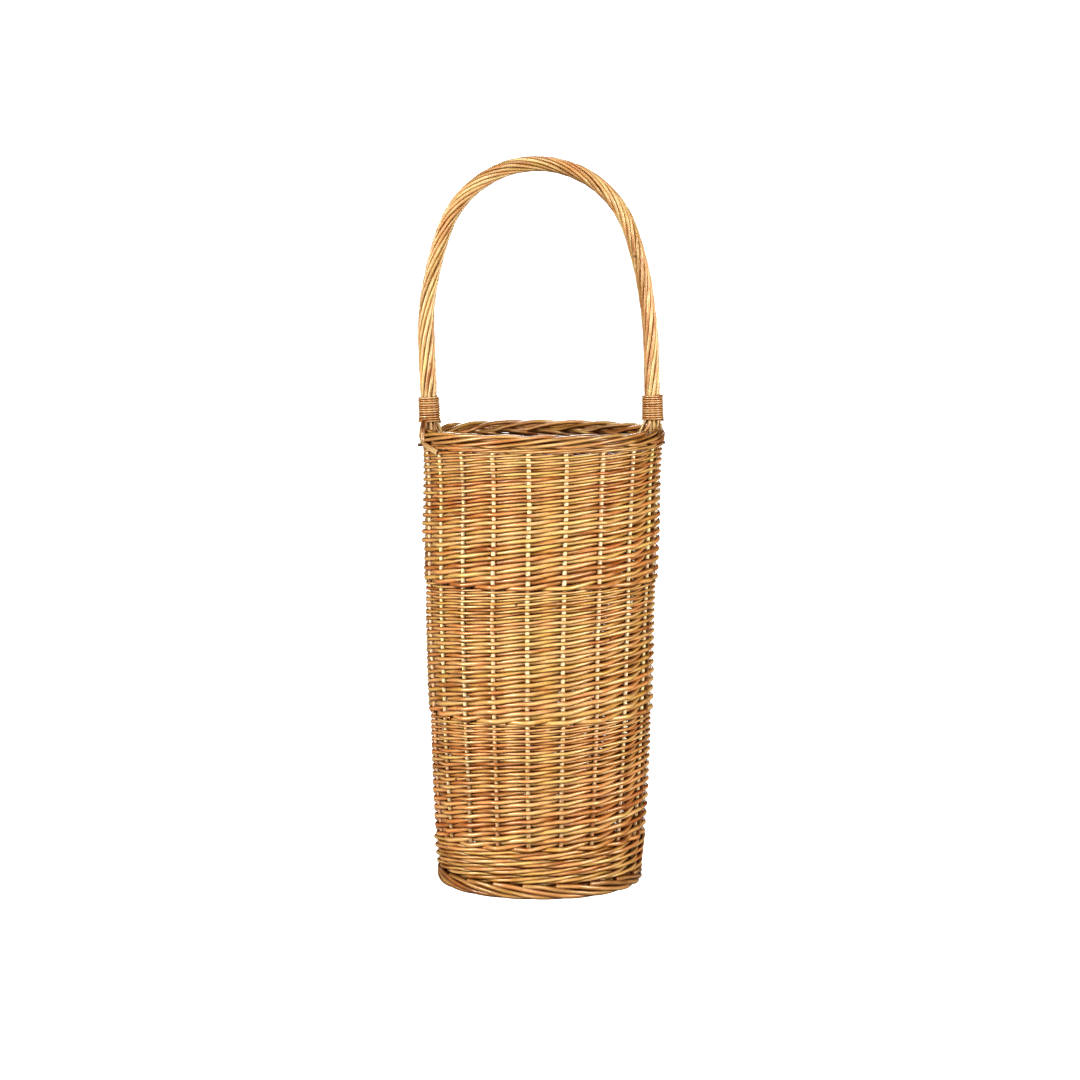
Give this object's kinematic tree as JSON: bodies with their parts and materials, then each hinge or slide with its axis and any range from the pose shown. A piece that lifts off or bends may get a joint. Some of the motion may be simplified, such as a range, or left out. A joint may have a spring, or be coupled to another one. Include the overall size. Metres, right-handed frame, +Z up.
{
  "type": "umbrella stand",
  "caption": "Tall tapered woven willow umbrella basket with a rolled rim and a fixed roped hoop handle.",
  "frame": {"origin": "on the floor, under the centre of the basket's round base", "axes": "+Z up; +X towards one foot of the hoop handle, which lies in the XZ plane; +Y towards the side away from the front"},
  "size_m": [0.2766, 0.2672, 0.7997],
  "materials": {
    "weave_willow": "varnished buff willow rods, honey brown",
    "stake_willow": "varnished buff willow rods, pale",
    "border_willow": "varnished buff willow rods, honey brown",
    "handle_willow": "varnished buff willow rods, golden",
    "base_willow": "varnished buff willow rods, duller"
  },
  "bodies": {
    "root": {"base_stick_01": "base_willow", "base_stick_02": "base_willow", "base_stick_03": "base_willow", "base_stick_04": "base_willow", "base_stick_05": "base_willow", "base_stick_06": "base_willow", "base_stick_07": "base_willow", "base_stick_08": "base_willow", "base_stick_09": "base_willow", "base_stick_10": "base_willow", "base_weave": "base_willow", "side_stake_01": "stake_willow", "side_stake_02": "stake_willow", "side_stake_03": "stake_willow", "side_stake_04": "stake_willow", "side_stake_05": "stake_willow", "side_stake_06": "stake_willow", "side_stake_07": "stake_willow", "side_stake_08": "stake_willow", "side_stake_09": "stake_willow", "side_stake_10": "stake_willow", "side_stake_11": "stake_willow", "side_stake_12": "stake_willow", "side_stake_13": "stake_willow", "side_stake_14": "stake_willow", "side_stake_15": "stake_willow", "side_stake_16": "stake_willow", "side_stake_17": "stake_willow", "side_stake_18": "stake_willow", "side_stake_19": "stake_willow", "side_stake_20": "stake_willow", "foot_border": "border_willow", "upset_wale": "weave_willow", "rand_band_lower": "weave_willow", "rand_band_middle": "weave_willow", "rand_band_upper": "weave_willow", "top_wale": "weave_willow", "top_border": "border_willow", "handle_core": "handle_willow", "handle_strand_01": "handle_willow", "handle_strand_02": "handle_willow", "handle_strand_03": "handle_willow", "handle_strand_04": "handle_willow", "handle_strand_05": "handle_willow", "handle_strand_06": "handle_willow", "handle_strand_07": "handle_willow", "handle_strand_08": "handle_willow", "handle_strand_09": "handle_willow", "handle_strand_10": "handle_willow", "handle_binding_left": "handle_willow", "handle_binding_right": "handle_willow", "handle_tie_left": "handle_willow", "handle_peg_left": "handle_willow", "handle_peg_right": "handle_willow"}
  },
  "joints": []
}
